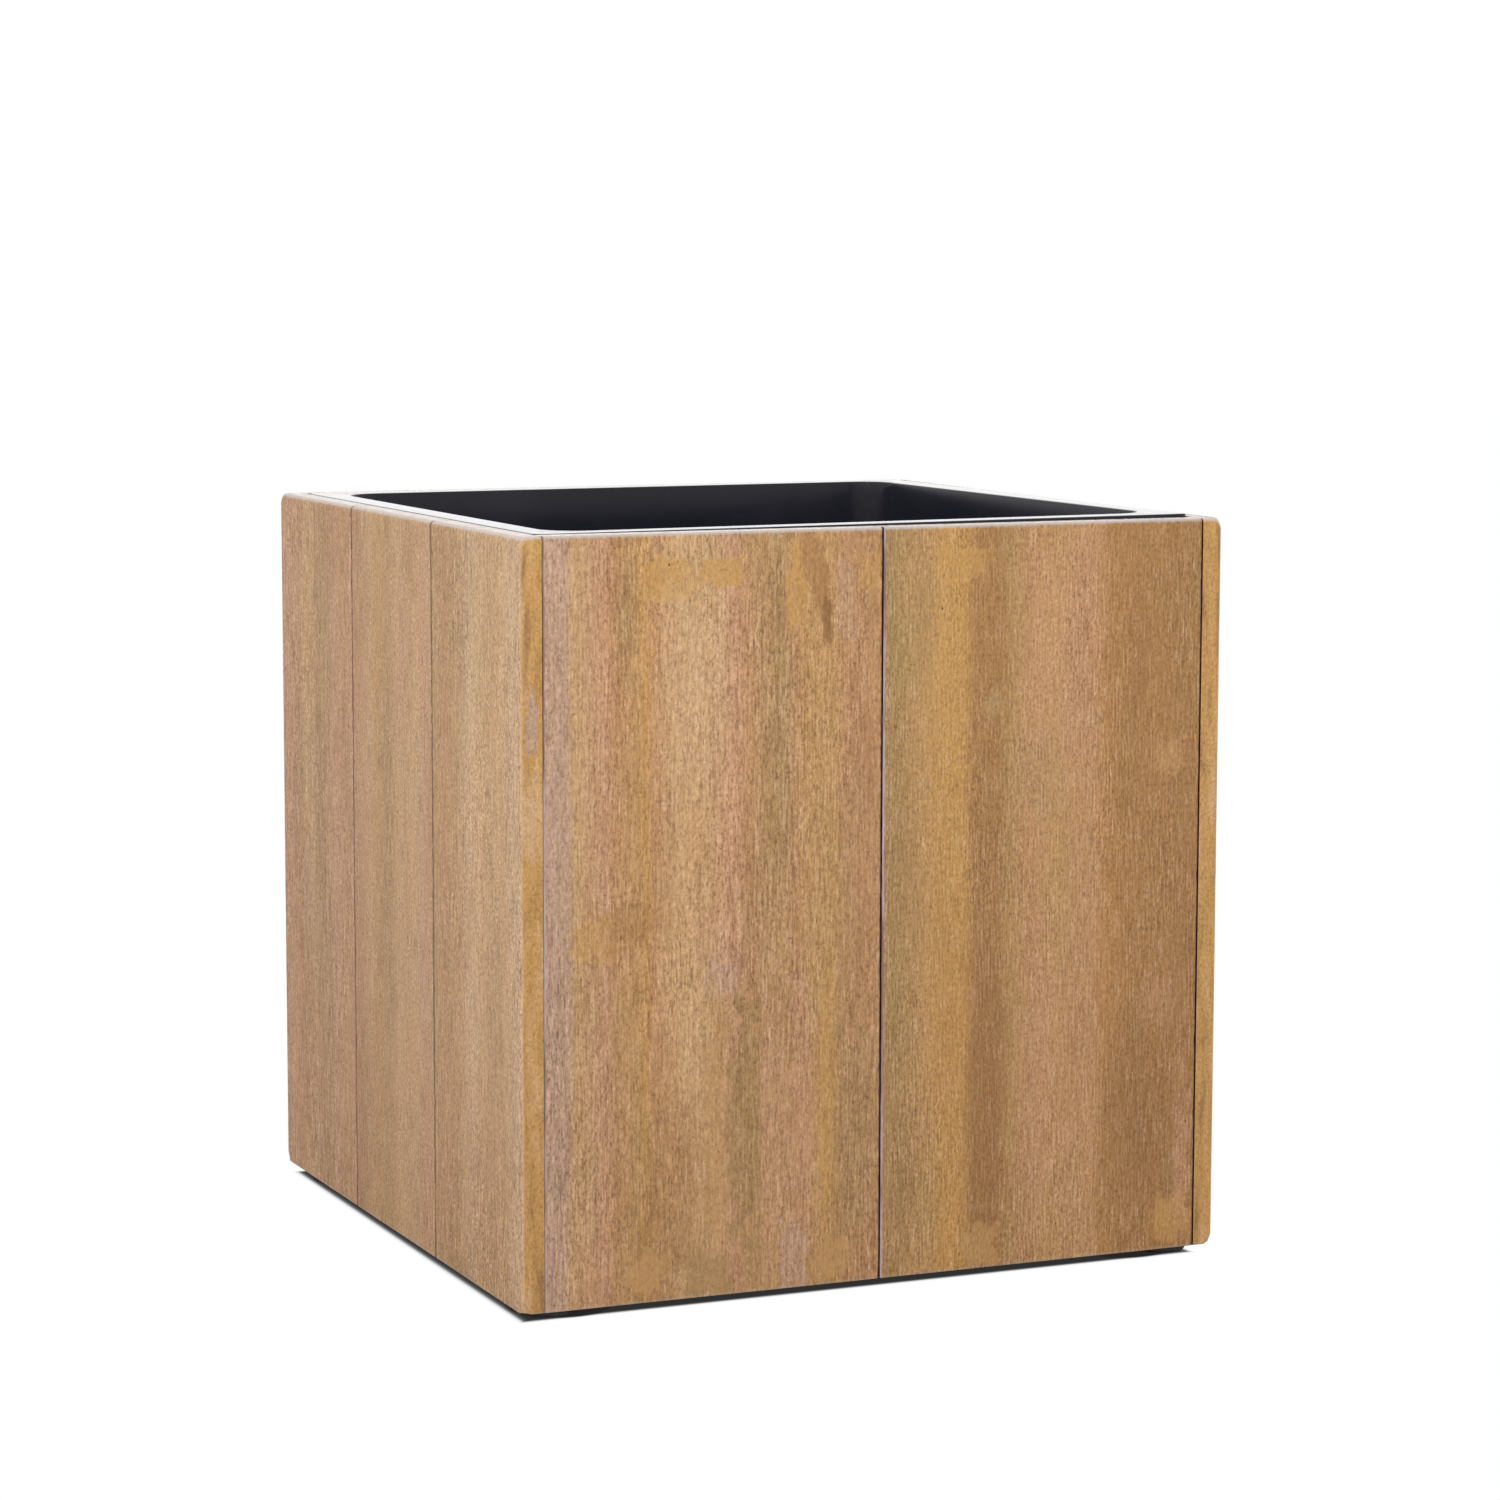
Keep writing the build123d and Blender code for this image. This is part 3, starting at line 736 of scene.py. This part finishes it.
# Staves across each board that shows: mm from its start edge, tone, level
STAVES = {
    "left_board_back": [
        (0, "clay", 0.98), (22, "rose", 0.98), (45, "clay", 1.0), (58, "sand", 1.02), (76, "sand", 1.0),
        (86, "clay", 0.92), (112, "olive", 1.0), (122, "rose", 0.96), (150, "clay", 1.04),
        (166, "rose", 0.98),
    ],
    "left_board_middle": [
        (0, "clay", 0.98), (14, "clay", 0.96), (36, "sand", 1.0), (52, "honey", 0.98),
        (78, "olive", 1.06), (96, "sand", 1.04), (114, "sand", 0.97), (134, "sand", 1.03),
        (150, "rose", 1.02), (166, "sand", 0.95),
    ],
    "left_board_front": [
        (0, "olive", 1.08), (22, "clay", 1.0), (40, "olive", 1.12), (56, "sand", 1.02),
        (74, "cream", 0.98), (92, "sand", 1.06), (112, "sand", 1.02), (132, "sand", 1.05),
        (150, "cream", 0.95), (166, "cream", 1.0),
    ],
    "front_board_left": [
        (0, "lilac", 0.98), (14, "lilac", 0.96), (20, "sand", 1.02), (40, "rose", 0.98),
        (48, "clay", 1.02), (65, "honey", 0.98), (67, "gold", 1.0), (74, "clay", 1.08),
        (92, "sand", 1.06), (112, "sand", 1.0), (128, "rose", 1.0), (140, "clay", 1.02),
        (160, "olive", 1.1), (172, "clay", 1.0), (182, "honey", 0.98), (200, "honey", 0.97),
        (208, "clay", 0.98), (222, "clay", 1.0), (234, "clay", 0.98),
    ],
    "front_board_right": [
        (0, "olive", 0.95), (10, "moss", 1.1), (22, "honey", 0.9), (34, "honey", 0.96),
        (46, "gold", 0.98), (58, "gold", 0.96), (68, "umber", 0.98), (84, "umber", 1.0),
        (96, "honey", 0.9), (108, "clay", 1.0), (126, "honey", 0.98), (140, "clay", 1.04),
        (154, "clay", 1.02), (165, "umber", 1.06), (180, "umber", 1.02), (200, "umber", 1.0),
        (218, "umber", 0.96), (234, "umber", 0.98),
    ],
}

# Blotches: mm across, mm high, half width, half height, tone, strength, softness, smoothness
PATCHES = {
    "front_board_left": [
        (8, 360, 9, 175, "lilac", 0.7, 0.5, 0.0),
        (57, 452, 6, 40, "moss", 0.6, 0.6, 0.0),
        (84, 472, 17, 13, "gold", 0.85, 0.18, 0.9),
        (120, 474, 16, 9, "gold", 0.85, 0.18, 0.9),
        (100, 400, 20, 60, "cream", 0.45, 0.7, 0.0),
        (166, 360, 7, 60, "olive", 0.5, 0.6, 0.0),
        (173, 462, 7, 26, "gold", 0.85, 0.3, 0.7),
        (184, 482, 7, 15, "umber", 0.85, 0.25, 0.6),
        (191, 462, 6, 18, "umber", 0.9, 0.25, 0.6),
        (195, 443, 3.5, 16, "bark", 0.9, 0.3, 0.5),
        (207, 455, 8, 26, "lilac", 0.35, 0.4, 0.0),
        (226, 474, 9, 13, "gold", 0.5, 0.35, 0.6),
        (34, 243, 16, 15, "gold", 0.55, 0.25, 0.7),
        (57, 250, 13, 15, "umber", 0.6, 0.5, 0.3),
        (122, 216, 13, 13, "lilac", 0.7, 0.4, 0.0),
        (130, 240, 26, 20, "rose", 0.4, 0.6, 0.0),
        (119, 120, 9, 85, "honey", 0.6, 0.3, 0.6),
        (138, 115, 12, 78, "moss", 0.78, 0.25, 0.0),
        (158, 110, 9, 95, "rose", 0.6, 0.3, 0.0),
        (178, 120, 9, 95, "rose", 0.7, 0.3, 0.0),
        (196, 130, 6, 80, "gold", 0.6, 0.35, 0.5),
        (214, 105, 14, 80, "moss", 0.45, 0.5, 0.0),
        (90, 70, 16, 55, "umber", 0.6, 0.5, 0.0),
        (70, 26, 13, 13, "honey", 0.9, 0.18, 0.85),
        (112, 18, 17, 13, "olive", 0.9, 0.18, 0.85),
        (172, 28, 9, 24, "lilac", 0.7, 0.35, 0.0),
        (202, 24, 12, 13, "honey", 0.9, 0.18, 0.85),
    ],
    "front_board_right": [
        (30, 440, 6, 40, "moss", 0.5, 0.6, 0.0),
        (58, 476, 18, 12, "gold", 0.75, 0.2, 0.85),
        (46, 300, 16, 190, "gold", 0.4, 0.4, 0.45),
        (76, 400, 12, 80, "umber", 0.5, 0.5, 0.0),
        (80, 383, 7, 9, "olive", 0.7, 0.4, 0.4),
        (112, 335, 18, 26, "olive", 0.6, 0.5, 0.0),
        (130, 410, 22, 70, "rose", 0.4, 0.6, 0.0),
        (210, 340, 11, 10, "honey", 0.55, 0.2, 0.6),
        (205, 175, 14, 17, "rose", 0.3, 0.4, 0.0),
        (190, 100, 22, 60, "bark", 0.35, 0.6, 0.0),
        (76, 120, 14, 90, "bark", 0.35, 0.5, 0.0),
        (120, 130, 14, 90, "rose", 0.4, 0.5, 0.0),
        (72, 20, 14, 14, "honey", 0.75, 0.15, 0.85),
        (216, 26, 14, 16, "gold", 0.7, 0.2, 0.8),
        (224, 70, 6, 50, "rose", 0.5, 0.5, 0.0),
    ],
    "left_board_front": [
        (150, 465, 14, 32, "cream", 0.6, 0.5, 0.3),
        (62, 240, 16, 34, "clay", 0.5, 0.5, 0.2),
        (76, 200, 14, 60, "cream", 0.45, 0.6, 0.0),
        (174, 385, 4, 17, "lilac", 1.0, 0.35, 0.9),
        (172, 325, 5, 22, "cream", 0.8, 0.5, 0.9),
        (30, 100, 20, 60, "clay", 0.4, 0.6, 0.0),
        (110, 60, 34, 50, "clay", 0.45, 0.6, 0.0),
    ],
    "left_board_middle": [
        (18, 300, 14, 70, "rose", 0.5, 0.6, 0.0),
        (100, 390, 14, 40, "rose", 0.5, 0.5, 0.0),
        (142, 250, 9, 90, "lilac", 0.3, 0.5, 0.0),
        (30, 80, 20, 60, "umber", 0.45, 0.6, 0.0),
        (70, 300, 14, 70, "olive", 0.4, 0.6, 0.0),
        (123, 474, 14, 24, "umber", 0.5, 0.6, 0.0),
    ],
    "left_board_back": [
        (66, 420, 12, 60, "honey", 0.55, 0.5, 0.0),
        (100, 410, 16, 70, "olive", 0.5, 0.5, 0.0),
        (60, 220, 12, 26, "lilac", 0.6, 0.5, 0.0),
        (130, 240, 24, 70, "rose", 0.5, 0.6, 0.0),
        (70, 90, 40, 60, "clay", 0.4, 0.6, 0.0),
        (56, 140, 16, 110, "umber", 0.5, 0.6, 0.0),
        (130, 474, 32, 24, "umber", 0.45, 0.6, 0.0),
    ],
}


def drawn_staves(width, rng):
    """Staves for a board that takes no special care: mixed tones of uneven widths."""
    staves, at = [], 0.0
    while at < width / MM:
        key = rng.choice(("clay", "honey", "umber", "sand", "olive", "rose", "gold"))
        level = rng.uniform(0.94, 1.04)
        staves.append((at, key, level))
        at += rng.uniform(12, 26)
    staves.append((width / MM, "clay", 1.0))
    return staves[:MOST_STAVES]


def drawn_patches(width, rng):
    """Blotches for a board that takes no special care."""
    patches = []
    for key in ("gold", "lilac", "olive", "umber", "rose", "honey", "gold"):
        high = rng.uniform(30, 470)
        tall = rng.uniform(12, 80)
        patches.append((
            rng.uniform(10, width / MM - 10), high, rng.uniform(8, 20), tall, key,
            rng.uniform(0.4, 0.7), rng.uniform(0.3, 0.6), rng.choice((0.0, 0.5)),
        ))
    return patches


def make_boards():
    """The boards of the four panels, in place of the CAD ones."""
    made = []
    for side, panel in PANELS.items():
        length, places = panel[3], panel[4]
        pitch = (length + BOARD_REVEAL) / len(places)
        full_depth = side in ("left", "right")
        for index, place in enumerate(places):
            name = f"{side}_board_{place}"
            first, last = index == 0, index == len(places) - 1
            shape = (full_depth and first, full_depth and last, not first, not last, full_depth)
            width = pitch - BOARD_REVEAL
            start = index * pitch - length / 2
            seed = len(made) * SEED_STEP + FIRST_SEED
            mesh = board_mesh(f"{name}_wood", panel, start, width, shape, seed)
            rng = random.Random(FIRST_DRAW + len(made))
            staves = STAVES.get(name) or drawn_staves(width, rng)
            patches = PATCHES.get(name) or drawn_patches(width, rng)
            look = SIDE_LOOK if full_depth else SET_IN_LOOK
            finish = brushed_board(f"{name}_finish", width, seed, staves, patches, shape[:2], look)
            mesh.materials.append(finish)
            board = put(f"{name}_wood", mesh)
            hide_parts(name)
            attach(board, "case")
            made.append(board)


# ---------------------------------------------------------------- liner
def make_liner(material):
    """The moulded tub, its rim a little out of true: it stands higher at the front right."""
    mesh = nodes["liner"].data.copy()
    mesh.name = "liner_tub"
    work = bmesh.new()
    work.from_mesh(mesh)
    bmesh.ops.remove_doubles(work, verts=work.verts, dist=MERGE)
    for vert in work.verts:
        x, y, z = vert.co
        if z > RIM_FROM:
            right = max(0.0, min(1.0, (x + RIM_BEND_FROM) / RIM_BEND_SPAN))
            front = max(0.0, min(1.0, (RIM_BEND_FROM - y) / RIM_BEND_SPAN))
            vert.co.z += RIM_RISE * right * front - RIM_DROP * (1 - right)
    work.to_mesh(mesh)
    work.free()
    smooth_shade(mesh)
    mesh.materials.clear()
    mesh.materials.append(material)
    liner = put("liner_tub", mesh)
    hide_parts("liner")
    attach(liner, "liner")


# ---------------------------------------------------------------- screws
def screw_tree(material):
    """Geometry tree: a countersunk cross-head wood screw at every point, head outwards along its normal."""
    tree = bpy.data.node_groups.new("wood_screws", "GeometryNodeTree")
    face = tree.interface
    face.new_socket("Geometry", in_out="INPUT", socket_type="NodeSocketGeometry")
    sizes = {
        "Head diameter": 8 * MM, "Shank diameter": 2 * SHANK_RADIUS, "Length": 24 * MM, "Head height": 2 * MM,
        "Tip height": 4 * MM, "Cross width": 1.3 * MM, "Cross span": 4.4 * MM, "Cross depth": 1.8 * MM,
        "Thread pitch": 1.8 * MM, "Thread rise": 0.25 * MM,
    }
    for name, value in sizes.items():
        socket = face.new_socket(name, in_out="INPUT", socket_type="NodeSocketFloat")
        socket.default_value = value
    face.new_socket("Geometry", in_out="OUTPUT", socket_type="NodeSocketGeometry")
    t = Tree(tree)
    given = t.node("NodeGroupInput").outputs
    out = t.node("NodeGroupOutput").inputs

    def half(value):
        return t.product(value, 0.5)

    def moved(geometry, shift, turn=(0, 0, 0)):
        inputs = {"Geometry": geometry, "Translation": shift, "Rotation": turn}
        return t.node("GeometryNodeTransform", inputs).outputs[0]

    def below(depth):
        return t.vector(z=t.product(depth, -1.0))

    head = t.node("GeometryNodeMeshCone", {
        "Vertices": HEAD_SIDES, "Radius Top": half(given["Head diameter"]),
        "Radius Bottom": half(given["Shank diameter"]), "Depth": given["Head height"],
    }).outputs["Mesh"]
    head = moved(head, below(given["Head height"]))
    bars = []
    for x, y in (("Cross span", "Cross width"), ("Cross width", "Cross span")):
        size = t.vector(given[x], given[y], t.product(given["Cross depth"], 2.0))
        bars.append(t.node("GeometryNodeMeshCube", {"Size": size}).outputs["Mesh"])
    cut = t.node("GeometryNodeMeshBoolean", operation="DIFFERENCE")
    t.feed(cut.inputs["Mesh 1"], head)
    for bar in bars:
        t.tree.links.new(bar, cut.inputs["Mesh 2"])
    both_ends = t.math("ADD", given["Head height"], given["Tip height"])
    core_length = t.math("SUBTRACT", given["Length"], both_ends)
    core_radius = t.math("SUBTRACT", half(given["Shank diameter"]), given["Thread rise"])
    core = t.node("GeometryNodeMeshCylinder", {
        "Vertices": CORE_SIDES, "Radius": core_radius, "Depth": core_length,
    }).outputs["Mesh"]
    core = moved(core, below(t.math("ADD", given["Head height"], half(core_length))))
    tip = t.node("GeometryNodeMeshCone", {
        "Vertices": CORE_SIDES, "Radius Top": core_radius, "Radius Bottom": 0.0,
        "Depth": given["Tip height"],
    }).outputs["Mesh"]
    tip = moved(tip, below(given["Length"]))
    turns = t.math("DIVIDE", core_length, given["Thread pitch"])
    spiral = t.node("GeometryNodeCurveSpiral", {
        "Resolution": 8, "Rotations": turns, "Start Radius": core_radius, "End Radius": core_radius,
        "Height": core_length,
    }).outputs[0]
    ridge = {"Resolution": RIDGE_SIDES, "Radius": given["Thread rise"]}
    ridge = t.node("GeometryNodeCurvePrimitiveCircle", ridge).outputs[0]
    thread = {"Curve": spiral, "Profile Curve": ridge, "Fill Caps": True}
    thread = t.node("GeometryNodeCurveToMesh", thread).outputs[0]
    thread = moved(thread, below(t.math("ADD", given["Head height"], core_length)))
    screw = t.node("GeometryNodeJoinGeometry")
    for part in (cut.outputs["Mesh"], core, tip, thread):
        t.tree.links.new(part, screw.inputs[0])
    flat = {"Geometry": screw.outputs[0], "Shade Smooth": False}
    screw = t.node("GeometryNodeSetShadeSmooth", flat).outputs[0]

    way = t.node("GeometryNodeInputNamedAttribute", {"Name": "head_way"}, data_type="FLOAT_VECTOR").outputs[0]
    facing = t.node("FunctionNodeAlignRotationToVector", {"Vector": way}, axis="Z").outputs[0]
    turn = {"Min": (0, 0, 0), "Max": (0, 0, math.pi), "Seed": 4}
    turn = t.node("FunctionNodeRandomValue", turn, data_type="FLOAT_VECTOR")
    spin = t.node("FunctionNodeEulerToRotation", {0: turn.outputs[0]}).outputs[0]
    rotation = {"Rotation": facing, "Rotate By": spin}
    rotation = t.node("FunctionNodeRotateRotation", rotation, rotation_space="LOCAL").outputs[0]
    placed = {"Points": given["Geometry"], "Instance": screw, "Rotation": rotation}
    placed = t.node("GeometryNodeInstanceOnPoints", placed).outputs[0]
    real = t.node("GeometryNodeRealizeInstances", {"Geometry": placed}).outputs[0]
    steel = t.node("GeometryNodeSetMaterial", {"Geometry": real, "Material": material}).outputs[0]
    t.feed(out["Geometry"], steel)
    return tree


def screw_places(node):
    """Middle of the head, way out of the wood and length of each screw in a CAD group of them."""
    work = bmesh.new()
    work.from_mesh(nodes[node].data)
    bmesh.ops.remove_doubles(work, verts=work.verts, dist=MERGE)
    left, places = set(work.verts), []
    while left:
        island, queue = [], [min(left, key=lambda v: v.index)]
        left.discard(queue[0])
        while queue:
            vert = queue.pop()
            island.append(vert.co.copy())
            for edge in vert.link_edges:
                other = edge.other_vert(vert)
                if other in left:
                    left.discard(other)
                    queue.append(other)
        low = Vector([min(p[k] for p in island) for k in range(3)])
        high = Vector([max(p[k] for p in island) for k in range(3)])
        axis = max(range(3), key=lambda k: high[k] - low[k])
        middle = (low + high) / 2
        near_low = [p for p in island if p[axis] - low[axis] < SAME_FACE]
        spread = max((p - middle).length_squared - (p[axis] - middle[axis]) ** 2 for p in near_low)
        head_low = spread > SHANK_RADIUS ** 2
        way = Vector((0, 0, 0))
        way[axis] = -1.0 if head_low else 1.0
        middle[axis] = low[axis] if head_low else high[axis]
        places.append((middle, way, high[axis] - low[axis]))
    work.free()
    return places


def make_screws(material):
    """Screws in place of each CAD group of them."""
    tree = screw_tree(material)
    sockets = {item.name: item.identifier for item in tree.interface.items_tree if item.in_out == "INPUT"}
    for node in ("top_rail_screws", "bottom_rail_screws", "post_screws", "slat_screws", "foot_screws"):
        places = screw_places(node)
        points = bpy.data.meshes.new(f"{node}_places")
        points.from_pydata([place for place, _, _ in places], [], [])
        ways = points.attributes.new("head_way", "FLOAT_VECTOR", "POINT")
        for item, (_, way, _) in zip(ways.data, places):
            item.vector = way
        maker = put(f"{node}_maker", points)
        modifier = maker.modifiers.new("screws", "NODES")
        modifier.node_group = tree
        modifier[sockets["Length"]] = places[0][2]
        graph = bpy.context.evaluated_depsgraph_get()
        mesh = bpy.data.meshes.new_from_object(maker.evaluated_get(graph))
        bpy.data.objects.remove(maker)
        mesh.name = f"{node}_steel"
        screws = put(f"{node}_steel", mesh)
        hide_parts(node)
        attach(screws, "case")


# ---------------------------------------------------------------- frame and feet
def dress(node, material):
    """Gives a CAD node its finish."""
    mesh = nodes[node].data
    mesh.materials.clear()
    mesh.materials.append(material)


def dress_frame():
    """Finishes for the posts, rails, slats and feet."""
    upright = planed_frame_wood("post_wood", "Z", 2.0)
    across = planed_frame_wood("frame_wood_across", "X", 3.0)
    deep = planed_frame_wood("frame_wood_deep", "Y", 4.0)
    slat = planed_frame_wood("slat_wood", "X", 6.0)
    for corner in ("front_left", "front_right", "back_right", "back_left"):
        dress(f"corner_post_{corner}", upright)
        dress(f"foot_{corner}", FOOT_PLASTIC)
    for level in ("top", "bottom"):
        for side in ("left", "right"):
            dress(f"{level}_rail_{side}", deep)
        for side in ("front", "back"):
            dress(f"{level}_rail_{side}", across)
    for index in range(1, 6):
        dress(f"floor_slat_{index}", slat)


# ---------------------------------------------------------------- studio
def make_floor():
    """White floor: plain white to the eye, shaded only where the planter all but touches it."""
    mesh = bpy.data.meshes.new("floor")
    corners = [(x * FLOOR_REACH, y * FLOOR_REACH, 0) for x, y in ((-1, -1), (1, -1), (1, 1), (-1, 1))]
    mesh.from_pydata(corners, [], [(0, 1, 2, 3)])
    floor = put("floor", mesh)
    material = bpy.data.materials.new("white_floor")
    material.use_nodes = True
    material.node_tree.nodes.clear()
    t = Tree(material.node_tree)
    matt = t.node("ShaderNodeBsdfDiffuse", {"Color": FLOOR_COLOUR})
    parts = t.axes(t.coordinates())
    x, y = (t.math("ABSOLUTE", t.math("ADD", parts[axis], SHADE_SET_IN / 2)) for axis in "XY")
    off_foot = t.vector(t.math("SUBTRACT", x, FOOT_SHADE), t.math("SUBTRACT", y, FOOT_SHADE))
    off_foot = t.node("ShaderNodeVectorMath", {0: off_foot}, operation="LENGTH").outputs["Value"]

    def under(distance, levels):
        """Shade by distance inside the planter's outline."""
        span = SHADE_TO - SHADE_FROM
        edge = HALF - SHADE_SET_IN / 2 - SHADE_FROM * MM
        place = t.math("MULTIPLY_ADD", distance, -1 / (span * MM), edge / (span * MM))
        return t.ramp(place, [((mm - SHADE_FROM) / span, (grey, grey, grey, 1)) for mm, grey in levels])

    shade = t.colour(1.0, under(x, SIDE_SHADE), under(y, FRONT_SHADE), "LIGHTEN")
    by_foot = t.steps(off_foot, FOOT_SHADE_INNER, FOOT_SHADE_OUTER, 1, 0)
    shade = t.colour(by_foot, shade, FOOT_SHADE_COLOUR)
    white = t.node("ShaderNodeEmission", {"Color": shade, "Strength": 1.0})
    seen = t.node("ShaderNodeLightPath").outputs["Is Camera Ray"]
    mixed = t.node("ShaderNodeMixShader", {0: seen, 1: matt.outputs[0], 2: white.outputs[0]})
    t.node("ShaderNodeOutputMaterial", {"Surface": mixed.outputs[0]})
    mesh.materials.append(material)


def make_key_light():
    """Square light at the front left, high up."""
    lamp = bpy.data.lights.new("key", "AREA")
    lamp.shape, lamp.size, lamp.size_y = "RECTANGLE", KEY_SIZE, KEY_SIZE
    lamp.energy = KEY_POWER
    light = put("key", lamp)
    light.location = KEY_PLACE
    light.rotation_euler = (Vector(KEY_AIM) - Vector(KEY_PLACE)).to_track_quat("-Z", "Y").to_euler()
    light.visible_camera = False


def make_studio():
    """Even white surroundings, the floor and one light."""
    world = bpy.data.worlds.new("studio")
    world.use_nodes = True
    back = world.node_tree.nodes["Background"]
    back.inputs["Color"].default_value = (1.0, 1.0, 1.0, 1)
    back.inputs["Strength"].default_value = SURROUNDINGS
    bpy.context.scene.world = world
    make_floor()
    make_key_light()


def make_camera():
    """Camera a little above the planter, front and left of it."""
    yaw, pitch, roll = CAMERA_YAW, CAMERA_PITCH, CAMERA_ROLL
    forward = Vector((-math.sin(yaw) * math.cos(pitch), math.cos(yaw) * math.cos(pitch), -math.sin(pitch)))
    level = Vector((math.cos(yaw), math.sin(yaw), 0))
    up = level.cross(forward)
    right = math.cos(roll) * level + math.sin(roll) * up
    up = math.cos(roll) * up - math.sin(roll) * level
    camera = put("camera", bpy.data.cameras.new("camera"))
    camera.data.sensor_width = CAMERA_SENSOR
    camera.data.lens = CAMERA_LENS
    turn = Matrix((right, up, -forward)).transposed()
    camera.matrix_world = Matrix.Translation(CAMERA_PLACE) @ turn.to_4x4()
    bpy.context.scene.camera = camera
    bpy.context.scene.view_settings.view_transform = "Standard"


make_camera()
make_studio()
LINER_PLASTIC = moulded_plastic(
    "satin_black_plastic", (0.011, 0.011, 0.019, 1), roughness=0.19, dusty=0.03, seed=1.0, rim=RIM_POLISHED,
)
FOOT_PLASTIC = moulded_plastic(
    "matt_black_plastic", (0.016, 0.016, 0.016, 1), roughness=0.6, dusty=0.2, seed=8.0,
)
SCREW_STEEL = plated_steel("zinc_plated_steel")
make_boards()
make_liner(LINER_PLASTIC)
make_screws(SCREW_STEEL)
dress_frame()
